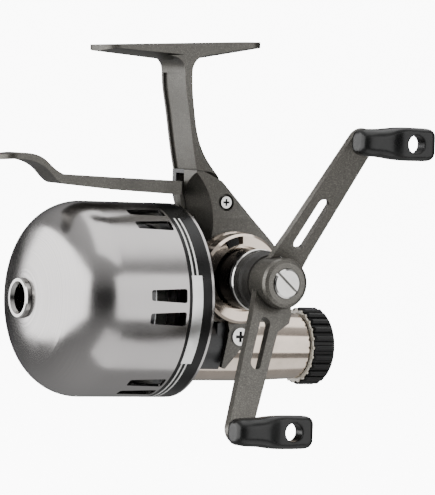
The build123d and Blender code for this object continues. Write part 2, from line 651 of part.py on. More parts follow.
# ---------------------------------------------------------------- drive train
PINION_TIP = 4.6
PINION_ROOT = 3.8
PINION_TEETH = (3.4, 8.4)
with BuildPart() as pinion_gear:
    long_bar(PINION_TEETH[0], PINION_TEETH[1], PINION_ROOT)
    with BuildSketch(CROSS.offset(PINION_TEETH[0])):
        with PolarLocations((PINION_TIP + PINION_ROOT) / 2 - 0.1, TEETH_PINION):
            Rectangle(PINION_TIP - PINION_ROOT + 0.2, 1.1)
    extrude(amount=PINION_TEETH[1] - PINION_TEETH[0])
    long_bar(PLATE_FRONT - 0.2, PINION_TEETH[0], 3.0)
    long_bar(PLATE_FRONT - 1, 10, SHAFT_RADIUS + RUN, mode=Mode.SUBTRACT)
pinion_gear.part.label = "pinion_gear"
export_step(pinion_gear.part, "parts/pinion_gear.step")

with BuildPart() as pinion_bearing:
    lathe([(-2.2, 3.0 + RUN), (-2.2, 6.0), (1.8, 6.0), (1.8, 3.0 + RUN)])
pinion_bearing.part.label = "pinion_bearing"
export_step(pinion_bearing.part, "parts/pinion_bearing.step")

GEAR_FACE = -(PINION_TIP + 0.15)
GEAR_RADIUS = 12.8
with BuildPart() as drive_gear:
    lathe_crank([
        (GEAR_FACE - 1.0, CRANK_SHAFT + SEAT), (GEAR_FACE - 1.0, GEAR_RADIUS),
        (GEAR_FACE - 3.2, GEAR_RADIUS), (GEAR_FACE - 3.2, 6.0), (GEAR_FACE - 4.4, 5.0),
        (-12.0, 5.0), (-12.0, CRANK_SHAFT + SEAT),
    ])
    with BuildSketch(side_at(GEAR_FACE - 1.1)):
        with Locations(CRANK):
            with PolarLocations(GEAR_RADIUS - 1.8, TEETH_DRIVE):
                Rectangle(3.4, 0.85)
    extrude(amount=-1.1)
drive_gear.part.label = "drive_gear"
export_step(drive_gear.part, "parts/drive_gear.step")

shaft_end = HUB_FACE - CAP_DEPTH + 1.5
with BuildPart() as crank_shaft:
    lathe_crank([
        (shaft_end, 1.5 + SEAT), (shaft_end, CRANK_SHAFT), (12.6, CRANK_SHAFT), (12.6, 0),
        (shaft_end + 9.0, 0), (shaft_end + 9.0, 1.5 + SEAT),
    ])
crank_shaft.part.label = "crank_shaft"
export_step(crank_shaft.part, "parts/crank_shaft.step")

with BuildPart() as crank_bearings:
    for near, far in ((-16.4, -12.6), (9.65, 12.6)):
        lathe_crank([(near, CRANK_SHAFT + RUN), (near, 5.5), (far, 5.5), (far, CRANK_SHAFT + RUN)])
crank_bearings.part.label = "crank_bearings"
export_step(crank_bearings.part, "parts/crank_bearings.step")

with BuildPart() as one_way_clutch:
    lathe_crank([(5.6, 5.2), (5.6, 7.4), (9.55, 7.4), (9.55, 5.2)])
one_way_clutch.part.label = "one_way_clutch"
export_step(one_way_clutch.part, "parts/one_way_clutch.step")

with BuildPart() as clutch_rollers:
    with BuildSketch(side_at(9.0)):
        with Locations(CRANK):
            with PolarLocations(4.35, 6):
                Circle(0.75)
    extrude(amount=3.0)
clutch_rollers.part.label = "clutch_rollers"
export_step(clutch_rollers.part, "parts/clutch_rollers.step")

with BuildPart() as clutch_hub:
    lathe_crank([(5.7, CRANK_SHAFT + SEAT), (5.7, 3.5), (9.4, 3.5), (9.4, CRANK_SHAFT + SEAT)])
clutch_hub.part.label = "clutch_hub"
export_step(clutch_hub.part, "parts/clutch_hub.step")

with BuildPart() as far_cap:
    lathe_crank([
        (12.8, 0), (12.8, 4.1), (14.02, 4.1), (14.02, 7.4), (15.4, 7.0), (15.8, 5.6), (15.8, 0),
    ])
far_cap.part.label = "far_cap"
export_step(far_cap.part, "parts/far_cap.step")

# ---------------------------------------------------------------- bearing collar and crank hub
TAB_ANGLE = 112.0         # degrees, the selector tab's place round the collar
TAB_SPAN = 19.0           # degrees
TAB_TURN = 8.0            # degrees of travel
TAB_WIDTH = 2.4
RIM_MIDDLE = (BOSS_RADIUS + BOSS_RECESS) / 2
collar_seat = COVER_FACE - SEAT
with BuildPart() as bearing_collar:
    lathe_crank([
        (collar_seat, 9.8), (collar_seat, BOSS_RADIUS + 0.5), (-14.0, BOSS_RADIUS + 0.5),
        (-15.0, BOSS_RADIUS), (BOSS_RIM + 0.8, BOSS_RADIUS), (BOSS_RIM, BOSS_RADIUS - 0.8),
        (BOSS_RIM, BOSS_RECESS + 0.2), (-16.5, BOSS_RECESS), (-16.5, 9.8),
    ])
    ring_sector(
        TAB_ANGLE + TAB_SPAN / 2 + 1, TAB_SPAN + TAB_TURN + 2,
        (RIM_MIDDLE - TAB_WIDTH / 2 - RUN, RIM_MIDDLE + TAB_WIDTH / 2 + RUN),
        BOSS_RIM + 2.6, BOSS_RIM - 1, Mode.SUBTRACT,
    )
bearing_collar.part.label = "bearing_collar"
export_step(bearing_collar.part, "parts/bearing_collar.step")

with BuildPart() as selector_tab:
    ring_sector(
        TAB_ANGLE + TAB_SPAN / 2, TAB_SPAN, (RIM_MIDDLE - TAB_WIDTH / 2, RIM_MIDDLE + TAB_WIDTH / 2),
        BOSS_RIM + 2.6 - SEAT, BOSS_RIM - 0.5,
    )
selector_tab.part.label = "selector_tab"
export_step(selector_tab.part, "parts/selector_tab.step")

with BuildPart() as crank_sleeve:
    lathe_crank([
        (COVER_FACE - 0.05, 5.5 + SEAT), (COVER_FACE - 0.05, 9.75), (-16.45, 9.75), (-16.55, 9.75),
        (SLEEVE_END + 0.5, 9.75), (SLEEVE_END, 9.3), (SLEEVE_END, 3.4), (-17.0, 3.4),
        (-16.5, 5.5 + SEAT),
    ])
crank_sleeve.part.label = "crank_sleeve"
export_step(crank_sleeve.part, "parts/crank_sleeve.step")

with BuildPart() as trim_ring:
    lathe_crank([
        (SLEEVE_END - GAP, CRANK_SHAFT + SEAT), (SLEEVE_END - GAP, 9.7), (-29.2, 10.0),
        (-29.8, 10.0), (-30.1, 9.7), (-30.1, CRANK_SHAFT + SEAT),
    ])
trim_ring.part.label = "trim_ring"
export_step(trim_ring.part, "parts/trim_ring.step")

arm_back = HUB_FACE + ARM_THICKNESS
with BuildPart() as handle_collar:
    lathe_crank([
        (-30.12, CRANK_SHAFT + SEAT), (-30.12, 9.3), (-32.6, 9.3), (-33.1, 9.5), (-33.6, 8.8),
        (arm_back + 0.02, 8.5), (arm_back + 0.02, CRANK_SHAFT + SEAT),
    ])
handle_collar.part.label = "handle_collar"
export_step(handle_collar.part, "parts/handle_collar.step")

lean = radians(ARM_LEAN)
dihedral = radians(ARM_DIHEDRAL)
arm_middle = HUB_FACE + ARM_THICKNESS / 2


def arm_plane(side):
    """The plane of one arm, +1 the upper and -1 the lower; local x runs out along the arm."""
    along = Vector(side * sin(lean) * cos(dihedral), -sin(dihedral), side * cos(lean) * cos(dihedral))
    across = Vector(side * cos(lean), 0, -side * sin(lean))
    origin = (CRANK_X, arm_middle, CRANK_RISE - SPOOL_DROP)
    return Plane(origin, x_dir=along, z_dir=across.cross(along))


def knob_centre(side):
    """The (x, height, y) of a knob's pivot on the near face of its arm."""
    out = ARM_REACH * cos(dihedral)
    return (
        CRANK_X + side * out * sin(lean),
        CRANK_RISE + side * out * cos(lean),
        arm_middle - ARM_REACH * sin(dihedral) - ARM_THICKNESS / 2 - KNOB_STANDOFF,
    )


with BuildPart() as handle_arm:
    cross_pin(CRANK, CAP_RADIUS - 0.05, arm_back, HUB_FACE)
    for side, fan in ((1, 0.3), (-1, 3.4)):
        with BuildSketch(arm_plane(side).offset(-ARM_THICKNESS / 2)) as blade:
            with BuildLine():
                Polyline((0, -6.5), (8.0, -ARM_ROOT / 2 - 0.4), (13.0, -ARM_ROOT / 2), (ARM_REACH, -ARM_END / 2))
                ThreePointArc(
                    (ARM_REACH, -ARM_END / 2), (ARM_REACH + ARM_END / 2, 0), (ARM_REACH, ARM_END / 2)
                )
                Polyline(
                    (ARM_REACH, ARM_END / 2), (15.5, ARM_ROOT / 2), (11.0, ARM_ROOT / 2 + fan),
                    (8.0, ARM_ROOT / 2 + fan), (0, 6.5), (0, -6.5),
                )
            make_face()
        extrude(blade.sketch, amount=ARM_THICKNESS)
        with BuildSketch(arm_plane(side).offset(-ARM_THICKNESS)) as window:
            with Locations((SLOT_PLACE, 0)):
                SlotOverall(SLOT_LENGTH, ARM_SLOT)
        extrude(window.sketch, amount=2 * ARM_THICKNESS, mode=Mode.SUBTRACT)
    prism([(-20, 60), (60, 60), (60, -50), (-20, -50)], -20, arm_back, mode=Mode.SUBTRACT)
    cross_pin(CRANK, CAP_RADIUS + 0.15, HUB_FACE, HUB_FACE - CAP_DEPTH - 2, mode=Mode.SUBTRACT)
    cross_pin(CRANK, CRANK_SHAFT + SEAT, -20, HUB_FACE - 20, mode=Mode.SUBTRACT)
    for side in (1, -1):
        x, z, y = knob_centre(side)
        cross_pin((x, z), KNOB_PIN + SEAT, y + 8, y - 4, mode=Mode.SUBTRACT)
handle_arm.part.label = "handle_arm"
export_step(handle_arm.part, "parts/handle_arm.step")

screw_seat = HUB_FACE - CAP_DEPTH + 1.4
with BuildPart() as hub_cap:
    lathe_crank([
        (HUB_FACE - SEAT, CRANK_SHAFT + SEAT), (HUB_FACE - SEAT, CAP_RADIUS),
        (HUB_FACE - CAP_DEPTH + 1.5, CAP_RADIUS), (HUB_FACE - CAP_DEPTH + 0.45, CAP_RADIUS - 0.45),
        (HUB_FACE - CAP_DEPTH, CAP_RADIUS - 1.5), (HUB_FACE - CAP_DEPTH, 4.8), (screw_seat, 4.8),
        (screw_seat, CRANK_SHAFT + SEAT),
    ])
hub_cap.part.label = "hub_cap"
export_step(hub_cap.part, "parts/hub_cap.step")

with BuildPart() as handle_screw:
    face = HUB_FACE - CAP_DEPTH - 0.7
    head_back = screw_seat - SEAT
    lathe_crank([(head_back, 0), (head_back, 4.65), (face + 0.4, 4.65), (face, 4.1), (face, 0)])
    cross_pin(CRANK, 1.5, head_back + 8.0, head_back - 0.1)
    with BuildSketch(side_at(face + 1.1)) as slot:
        with Locations(Location((CRANK_X, CRANK_RISE), -41)):
            Rectangle(12, 1.2)
    extrude(slot.sketch, amount=2, mode=Mode.SUBTRACT)
handle_screw.part.label = "handle_screw"
export_step(handle_screw.part, "parts/handle_screw.step")


# ---------------------------------------------------------------- knobs and their pins
def paddle_knob(side):
    """A soft paddle lofted back from its blind end, with a hole through the blade."""
    x, z, y = knob_centre(side)
    middle = y - KNOB_NECK / 2
    tip = KNOB_LENGTH - KNOB_PIVOT
    sections = (          # place along the knob, thickness, height, corner radius
        (0.0, 0.50, 0.50, 1.9), (0.8, 0.84, 0.70, 2.6), (2.4, 1.0, 0.79, 3.0), (7.5, 1.0, 0.85, 3.2),
        (11.5, 0.86, 0.94, 2.9), (15.5, 0.58, 1.0, 1.9), (KNOB_LENGTH - 4.4, 0.54, 1.0, 1.9),
        (KNOB_LENGTH - 1.8, 0.52, 0.95, 1.8), (KNOB_LENGTH - 0.5, 0.43, 0.82, 1.6),
        (KNOB_LENGTH, 0.27, 0.62, 1.1),
    )
    with BuildPart() as paddle:
        for place, thick, high, corner in sections:
            with BuildSketch(
                Plane((x - KNOB_PIVOT + place, middle, z - SPOOL_DROP), x_dir=(0, 1, 0), z_dir=(1, 0, 0))
            ):
                RectangleRounded(thick * KNOB_NECK, high * KNOB_HEIGHT, corner)
        loft()
        cross_pin((x + tip - KNOB_HOLE_EDGE, z), KNOB_HOLE, y + 5, y - 15, mode=Mode.SUBTRACT)
        cross_pin((x, z), KNOB_PIN + RUN, y + 3, y - KNOB_NECK + 1.8, mode=Mode.SUBTRACT)
    return paddle.part


def knob_pin(side):
    """The pin that a knob turns on, riveted through the end of its arm."""
    x, z, y = knob_centre(side)
    slant = sin(dihedral) / cos(dihedral)
    head = y + KNOB_STANDOFF + ARM_THICKNESS / 2 * (1 + 1 / cos(dihedral)) + 3.0 * slant + SEAT
    with BuildPart() as pin:
        cross_pin((x, z), KNOB_PIN, head + 0.5, y - KNOB_NECK + 2.1)
        cross_pin((x, z), 3.0, head + 0.7, head)
        cross_pin((x, z), 2.7, y + KNOB_STANDOFF - 1.1, y + 0.3)
    return pin.part


with BuildPart() as upper_knob:
    add(paddle_knob(1))
upper_knob.part.label = "upper_knob"
export_step(upper_knob.part, "parts/upper_knob.step")

with BuildPart() as lower_knob:
    add(paddle_knob(-1))
lower_knob.part.label = "lower_knob"
export_step(lower_knob.part, "parts/lower_knob.step")

with BuildPart() as upper_knob_pin:
    add(knob_pin(1))
upper_knob_pin.part.label = "upper_knob_pin"
export_step(upper_knob_pin.part, "parts/upper_knob_pin.step")

with BuildPart() as lower_knob_pin:
    add(knob_pin(-1))
lower_knob_pin.part.label = "lower_knob_pin"
export_step(lower_knob_pin.part, "parts/lower_knob_pin.step")

# ---------------------------------------------------------------- trigger
nose_centre = (16.9, 0.8)
with BuildPart() as trigger_lever:
    with BuildSketch(SIDE):
        with BuildLine():
            Spline(
                (-62.5, 44.6), (-54.5, 45.5), (-48.9, 44.3), (-41.0, 39.2),
                tangents=[(1, 0.12), (1, -0.35)],
            )
            Polyline((-41.0, 39.2), (-17.8, 38.6), (3.4, 38.2), (3.4, 33.8), (-17.8, 34.6), (-41.4, 36.3))
            Spline(
                (-41.4, 36.3), (-46.8, 40.6), (-52.9, 43.2), (-62.5, 43.0),
                tangents=[(-1, 0.35), (-1, -0.12)],
            )
            Line((-62.5, 43.0), (-62.5, 44.6))
        make_face()
    extrude(amount=LEVER_HALF_WIDTH, both=True)
    with BuildSketch(Plane((0, 0, 30 - SPOOL_DROP), x_dir=(1, 0, 0), z_dir=(0, 0, 1))):
        with BuildLine():
            Polyline(
                (-57.5, -LEVER_HALF_WIDTH), (1.4, -LEVER_HALF_WIDTH), (2.4, -LEVER_HALF_WIDTH + 1.4),
                (2.8, 1.0), (3.4, LEVER_NECK[0]), (3.4, LEVER_NECK[1]), (1.6, LEVER_HALF_WIDTH),
                (-57.5, LEVER_HALF_WIDTH),
            )
            ThreePointArc((-57.5, LEVER_HALF_WIDTH), (-62.5, 0), (-57.5, -LEVER_HALF_WIDTH))
        make_face()
    extrude(amount=20, mode=Mode.INTERSECT)
    neck_width = LEVER_NECK[1] - LEVER_NECK[0]
    prism(
        [
            (1.0, 38.24), (6.6, 38.0), (11.2, 34.5), (12.6, 25.0), (14.1, 14.0), (14.1, 5.1),
            (17.9, 5.1), (18.3, 0.9), (16.9, -0.6), (15.6, 0.9), (15.7, 3.3), (12.2, 3.3),
            (12.0, 13.5), (5.8, 24.0), (5.4, 29.0), (4.2, 33.8), (1.0, 33.9),
        ],
        LEVER_NECK[1], LEVER_NECK[0],
    )
    cross_pin(nose_centre, 1.4, LEVER_NECK[1], LEVER_NECK[0])
    cross_pin(LEVER_PIVOT, 3.6, LEVER_NECK[1], LEVER_NECK[0])
    cross_pin(LEVER_PIVOT, LEVER_PIN + RUN, 10, -10, mode=Mode.SUBTRACT)
trigger_lever.part.label = "trigger_lever"
export_step(trigger_lever.part, "parts/trigger_lever.step")

with BuildPart() as trigger_pin:
    cross_pin(LEVER_PIVOT, LEVER_PIN, 7.4, -1.8)
trigger_pin.part.label = "trigger_pin"
export_step(trigger_pin.part, "parts/trigger_pin.step")

with BuildPart() as trigger_spring:
    coil_spring((LEVER_PIVOT[0], 6.6, LEVER_PIVOT[1] - SPOOL_DROP), (0, -1, 0), 1.4, 2, 2.4, 0.5)
trigger_spring.part.label = "trigger_spring"
export_step(trigger_spring.part, "parts/trigger_spring.step")

# ---------------------------------------------------------------- drag
with BuildPart() as drag_housing:
    lathe([
        (PLATE_REAR + SEAT, DRAG_SHAFT + 1.0), (PLATE_REAR + SEAT, DRAG_RADIUS), (30.0, DRAG_RADIUS),
        (DRAG_REAR, DRAG_TAIL_RADIUS), (DRAG_REAR, DRAG_TAIL_RADIUS - DRAG_WALL),
        (3.2, DRAG_TAIL_RADIUS - DRAG_WALL), (3.2, DRAG_SHAFT + 1.0),
    ], drop=DRAG_DROP)
    cross_pin(CRANK, GEAR_RADIUS + 0.5, GEAR_FACE + 0.6, -10.0, mode=Mode.SUBTRACT)
    cross_pin(lower_lug, 1.7, -6, -14, mode=Mode.SUBTRACT)
    long_bar(0, 1.8 + GAP, 6.0 + RUN, mode=Mode.SUBTRACT)
    long_bar(0, 16.0, PINION_TIP + 2 * GAP, mode=Mode.SUBTRACT)
drag_housing.part.label = "drag_housing"
export_step(drag_housing.part, "parts/drag_housing.step")

with BuildPart() as drag_bush:
    lathe([
        (PLATE_FRONT - 0.6, DRAG_SHAFT + RUN), (PLATE_FRONT - 0.6, 4.0), (PLATE_REAR, 4.0),
        (PLATE_REAR, DRAG_SHAFT + RUN),
    ], drop=DRAG_DROP)
drag_bush.part.label = "drag_bush"
export_step(drag_bush.part, "parts/drag_bush.step")

with BuildPart() as drag_gear:
    gear_along_x(TEETH_DRAG, DRAG_MODULE, 108, SPOOL_REAR + 0.3, SPOOL_REAR + 2.9, drop=DRAG_DROP)
    long_bar(SPOOL_REAR, 0, DRAG_SHAFT + SEAT, drop=DRAG_DROP, mode=Mode.SUBTRACT)
drag_gear.part.label = "drag_gear"
export_step(drag_gear.part, "parts/drag_gear.step")

CLUTCH_X = 20.0
with BuildPart() as drag_shaft:
    lathe([
        (SPOOL_REAR + 0.3, 0), (SPOOL_REAR + 0.3, DRAG_SHAFT), (CLUTCH_X, DRAG_SHAFT),
        (CLUTCH_X, 8.0), (CLUTCH_X + 1.6, 8.0), (CLUTCH_X + 1.6, DRAG_SHAFT), (41.0, DRAG_SHAFT),
        (41.0, 0),
    ], drop=DRAG_DROP)
drag_shaft.part.label = "drag_shaft"
export_step(drag_shaft.part, "parts/drag_shaft.step")


def washers(first, step, count, thickness, bore, radius):
    """A set of flat washers on the drag axis."""
    for number in range(count):
        front = first + number * step
        lathe([(front, bore), (front + thickness, bore), (front + thickness, radius), (front, radius)], DRAG_DROP)


WASHER_STEP = 1.9
with BuildPart() as friction_washers:
    washers(CLUTCH_X + 1.65, WASHER_STEP, 3, 1.0, DRAG_SHAFT + GAP, 7.8)
friction_washers.part.label = "friction_washers"
export_step(friction_washers.part, "parts/friction_washers.step")

with BuildPart() as metal_washers:
    washers(CLUTCH_X + 2.7, WASHER_STEP, 3, 0.8, DRAG_SHAFT + GAP, 8.2)
metal_washers.part.label = "metal_washers"
export_step(metal_washers.part, "parts/metal_washers.step")

SPRING_FRONT = CLUTCH_X + 2.7 + 2 * WASHER_STEP + 0.8
SPRING_LENGTH = 8.6
NUT_FRONT = SPRING_FRONT + SPRING_LENGTH + 0.4
with BuildPart() as drag_spring:
    coil_spring(
        (SPRING_FRONT + 0.55, 0, -SPOOL_DROP - DRAG_DROP), (1, 0, 0), SPRING_LENGTH - 0.7, 4, 5.2, 1.0
    )
drag_spring.part.label = "drag_spring"
export_step(drag_spring.part, "parts/drag_spring.step")

STEM_RADIUS = 3.9
with BuildPart() as drag_nut:
    lathe([
        (NUT_FRONT, STEM_RADIUS + RUN), (NUT_FRONT, 8.0), (NUT_FRONT + 3.0, 8.0),
        (NUT_FRONT + 3.0, STEM_RADIUS + RUN),
    ], drop=DRAG_DROP)
drag_nut.part.label = "drag_nut"
export_step(drag_nut.part, "parts/drag_nut.step")

KNOB_FRONT = DRAG_REAR + 1.4
with BuildPart() as drag_end_cap:
    inner = DRAG_TAIL_RADIUS - DRAG_WALL - SEAT
    lathe([
        (DRAG_REAR - 2.4, STEM_RADIUS + RUN), (DRAG_REAR - 2.4, inner), (DRAG_REAR + 0.02, inner),
        (DRAG_REAR + 0.02, DRAG_TAIL_RADIUS - 0.2), (DRAG_REAR + 0.5, DRAG_TAIL_RADIUS - 0.2),
        (DRAG_REAR + 0.5, STEM_RADIUS + RUN),
    ], drop=DRAG_DROP)
drag_end_cap.part.label = "drag_end_cap"
export_step(drag_end_cap.part, "parts/drag_end_cap.step")

with BuildPart() as click_ring:
    with BuildSketch(CROSS.offset(DRAG_REAR + 0.55)):
        with Locations((0, -DRAG_DROP)):
            Circle(DRAG_KNOB_RADIUS - 1.1)
            with PolarLocations(DRAG_KNOB_RADIUS - 1.1, DRAG_KNOB_LOBES):
                Circle(0.55)
            Circle(5.0, mode=Mode.SUBTRACT)
    extrude(amount=0.6)
click_ring.part.label = "click_ring"
export_step(click_ring.part, "parts/click_ring.step")

with BuildPart() as drag_knob:
    with BuildSketch(CROSS.offset(KNOB_FRONT)):
        with Locations((0, -DRAG_DROP)):
            Circle(DRAG_KNOB_RADIUS - 1.1)
            with PolarLocations(DRAG_KNOB_RADIUS - 1.05, DRAG_KNOB_LOBES):
                Circle(1.05)
    extrude(amount=DRAG_KNOB_LENGTH)
    with BuildSketch(SIDE) as envelope:
        with BuildLine():
            rear = KNOB_FRONT + DRAG_KNOB_LENGTH
            Polyline(
                (KNOB_FRONT, -DRAG_DROP), (KNOB_FRONT, DRAG_KNOB_RADIUS - 0.6 - DRAG_DROP),
                (KNOB_FRONT + 0.7, DRAG_KNOB_RADIUS + 0.1 - DRAG_DROP),
                (rear - 1.6, DRAG_KNOB_RADIUS + 0.1 - DRAG_DROP), (rear - 0.5, DRAG_KNOB_RADIUS - 1.0 - DRAG_DROP),
                (rear, DRAG_KNOB_RADIUS - 2.4 - DRAG_DROP), (rear, -DRAG_DROP), close=True,
            )
        make_face()
    revolve(axis=Axis((0, 0, -SPOOL_DROP - DRAG_DROP), (1, 0, 0)), mode=Mode.INTERSECT)
    long_bar(NUT_FRONT - 2.5, KNOB_FRONT + 0.1, STEM_RADIUS, drop=DRAG_DROP)
    long_bar(NUT_FRONT - 3, 42.0, DRAG_SHAFT + RUN, drop=DRAG_DROP, mode=Mode.SUBTRACT)
    long_bar(rear - 0.8, rear + 1, 6.2, drop=DRAG_DROP, mode=Mode.SUBTRACT)
drag_knob.part.label = "drag_knob"
export_step(drag_knob.part, "parts/drag_knob.step")
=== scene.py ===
# Studio looks for the underspin reel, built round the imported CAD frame. Metres.
# +X runs back along the spool axis, -Y is the crank side and +Z is up to the rod.
import math

import bmesh
import bpy
from mathutils import Matrix, Vector


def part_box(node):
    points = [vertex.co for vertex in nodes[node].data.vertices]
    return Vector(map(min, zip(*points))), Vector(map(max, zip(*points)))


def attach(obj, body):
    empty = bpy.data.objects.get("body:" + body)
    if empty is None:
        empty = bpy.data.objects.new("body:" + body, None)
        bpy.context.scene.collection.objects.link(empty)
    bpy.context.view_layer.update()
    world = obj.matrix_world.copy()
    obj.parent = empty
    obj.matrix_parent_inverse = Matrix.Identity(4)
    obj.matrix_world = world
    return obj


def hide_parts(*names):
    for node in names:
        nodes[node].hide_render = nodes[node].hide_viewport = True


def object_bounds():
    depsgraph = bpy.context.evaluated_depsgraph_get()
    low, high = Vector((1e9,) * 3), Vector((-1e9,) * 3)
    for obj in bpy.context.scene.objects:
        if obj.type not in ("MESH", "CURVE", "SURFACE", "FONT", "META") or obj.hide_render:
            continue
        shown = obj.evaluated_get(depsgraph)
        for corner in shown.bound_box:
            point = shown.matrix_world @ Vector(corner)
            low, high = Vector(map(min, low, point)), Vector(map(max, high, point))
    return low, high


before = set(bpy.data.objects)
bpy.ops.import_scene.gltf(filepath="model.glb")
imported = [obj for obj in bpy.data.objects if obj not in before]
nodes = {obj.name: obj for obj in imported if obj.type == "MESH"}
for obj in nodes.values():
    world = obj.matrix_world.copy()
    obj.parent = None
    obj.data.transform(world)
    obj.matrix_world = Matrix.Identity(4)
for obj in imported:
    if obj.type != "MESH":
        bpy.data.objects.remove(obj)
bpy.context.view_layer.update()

# ---------------------------------------------------------------- places, from the frame
cone_low, cone_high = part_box("nose_cone")
spool_z = (cone_low.z + cone_high.z) / 2
cone_radius = (cone_high.z - cone_low.z) / 2


# ---------------------------------------------------------------- material helpers
def new_material(name):
    """A fresh node material; gives (material, nodes, links, principled shader)."""
    m = bpy.data.materials.new(name)
    m.use_nodes = True
    tree = m.node_tree
    return m, tree.nodes, tree.links, tree.nodes["Principled BSDF"]


def texture_space(tree_nodes, links, scale=(1, 1, 1), rotation=(0, 0, 0)):
    """Object coordinates, stretched."""
    coords = tree_nodes.new("ShaderNodeTexCoord")
    mapping = tree_nodes.new("ShaderNodeMapping")
    mapping.inputs["Scale"].default_value = scale
    mapping.inputs["Rotation"].default_value = rotation
    links.new(coords.outputs["Object"], mapping.inputs["Vector"])
    return mapping.outputs["Vector"]


def noise(tree_nodes, links, vector, scale, detail=3.0, roughness=0.5):
    n = tree_nodes.new("ShaderNodeTexNoise")
    n.inputs["Scale"].default_value = scale
    n.inputs["Detail"].default_value = detail
    n.inputs["Roughness"].default_value = roughness
    links.new(vector, n.inputs["Vector"])
    return n.outputs["Fac"]


def ramp(tree_nodes, links, value, stops):
    """A colour ramp; stops are (position, (r, g, b))."""
    r = tree_nodes.new("ShaderNodeValToRGB")
    elements = r.color_ramp.elements
    while len(elements) < len(stops):
        elements.new(0.5)
    for element, (position, colour) in zip(elements, stops):
        element.position = position
        element.color = (*colour, 1.0)
    links.new(value, r.inputs["Fac"])
    return r.outputs["Color"]


def span(tree_nodes, links, value, low, high, from_low=0.3, from_high=0.7):
    """Map a value's range to low..high."""
    m = tree_nodes.new("ShaderNodeMapRange")
    m.inputs["From Min"].default_value = from_low
    m.inputs["From Max"].default_value = from_high
    m.inputs["To Min"].default_value = low
    m.inputs["To Max"].default_value = high
    links.new(value, m.inputs["Value"])
    return m.outputs["Result"]


def bump(tree_nodes, links, shader, height, distance, strength=1.0):
    b = tree_nodes.new("ShaderNodeBump")
    b.inputs["Strength"].default_value = strength
    b.inputs["Distance"].default_value = distance
    links.new(height, b.inputs["Height"])
    links.new(b.outputs["Normal"], shader.inputs["Normal"])


def tint(colour, factor):
    return tuple(c * factor for c in colour)


# ---------------------------------------------------------------- materials
def metallic_paint(name, colour, speck=1.35, rough=0.42):
    """Cast metal under a dark metallic lacquer with fine flake."""
    m, n, links, shader = new_material(name)
    space = texture_space(n, links)
    flake = noise(n, links, space, 3300, 2.0, 0.7)
    cloud = noise(n, links, space, 90, 3.0)
    base = ramp(n, links, flake, [
        (0.30, tint(colour, 0.70)), (0.52, colour), (0.62, tint(colour, speck)),
        (0.74, tint(colour, speck * 1.7)),
    ])
    links.new(base, shader.inputs["Base Color"])
    shader.inputs["Metallic"].default_value = 0.75
    links.new(span(n, links, cloud, rough - 0.05, rough + 0.07), shader.inputs["Roughness"])
    shader.inputs["Coat Weight"].default_value = 0.25
    shader.inputs["Coat Roughness"].default_value = 0.22
    bump(n, links, shader, flake, 0.00003, 0.35)
    return m


def spun_metal(name, colour, axis, rough=0.24, anisotropy=0.6, grain=0.00002):
    """Metal turned or brushed round an axis, so its grain runs round the part."""
    m, n, links, shader = new_material(name)
    coords = n.new("ShaderNodeTexCoord")
    split = n.new("ShaderNodeSeparateXYZ")
    links.new(coords.outputs["Object"], split.inputs["Vector"])
    join = n.new("ShaderNodeCombineXYZ")
    links.new(split.outputs["XYZ"[axis]], join.inputs["X"])
    lines = n.new("ShaderNodeTexNoise")
    lines.inputs["Scale"].default_value = 9000.0
    lines.inputs["Detail"].default_value = 2.0
    links.new(join.outputs["Vector"], lines.inputs["Vector"])
    cloud = noise(n, links, texture_space(n, links), 70, 2.0)
    base = ramp(n, links, lines.outputs["Fac"], [
        (0.25, tint(colour, 0.82)), (0.5, colour), (0.75, tint(colour, 1.12)),
    ])
    links.new(base, shader.inputs["Base Color"])
    shader.inputs["Metallic"].default_value = 1.0
    links.new(span(n, links, cloud, rough - 0.03, rough + 0.05), shader.inputs["Roughness"])
    shader.inputs["Anisotropic"].default_value = anisotropy
    bump(n, links, shader, lines.outputs["Fac"], grain, 0.25)
    return m


def polished(name, colour, rough=0.07):
    """Plated or polished metal with faint smears."""
    m, n, links, shader = new_material(name)
    space = texture_space(n, links)
    smear = noise(n, links, space, 160, 4.0, 0.6)
    base = ramp(n, links, smear, [(0.3, tint(colour, 0.9)), (0.7, tint(colour, 1.05))])
    links.new(base, shader.inputs["Base Color"])
    shader.inputs["Metallic"].default_value = 1.0
    links.new(span(n, links, smear, rough, rough + 0.07), shader.inputs["Roughness"])
    return m


def moulded(name, colour, rough=0.32, grain=0.00004, scale=2600, coat=0.2, gloss=0.5):
    """Moulded plastic or rubber with a fine spark-eroded grain."""
    m, n, links, shader = new_material(name)
    space = texture_space(n, links)
    fine = noise(n, links, space, scale, 3.0, 0.6)
    cloud = noise(n, links, space, 120, 2.0)
    base = ramp(n, links, cloud, [(0.3, tint(colour, 0.85)), (0.7, tint(colour, 1.2))])
    links.new(base, shader.inputs["Base Color"])
    links.new(span(n, links, cloud, rough - 0.05, rough + 0.08), shader.inputs["Roughness"])
    shader.inputs["Specular IOR Level"].default_value = gloss
    shader.inputs["Coat Weight"].default_value = coat
    shader.inputs["Coat Roughness"].default_value = 0.15
    bump(n, links, shader, fine, grain, 0.5)
    return m


def share(tree_nodes, links, kind, first, second):
    """One Math node; first and second are sockets or numbers."""
    m = tree_nodes.new("ShaderNodeMath")
    m.operation = kind
    for socket, value in zip(m.inputs, (first, second)):
        if isinstance(value, (int, float)):
            socket.default_value = value
        else:
            links.new(value, socket)
    return m.outputs["Value"]


def place_of(tree_nodes, links):
    """Sockets for X, Y and Z in the row frame."""
    coords = tree_nodes.new("ShaderNodeTexCoord")
    split = tree_nodes.new("ShaderNodeSeparateXYZ")
    links.new(coords.outputs["Object"], split.inputs["Vector"])
    return split.outputs


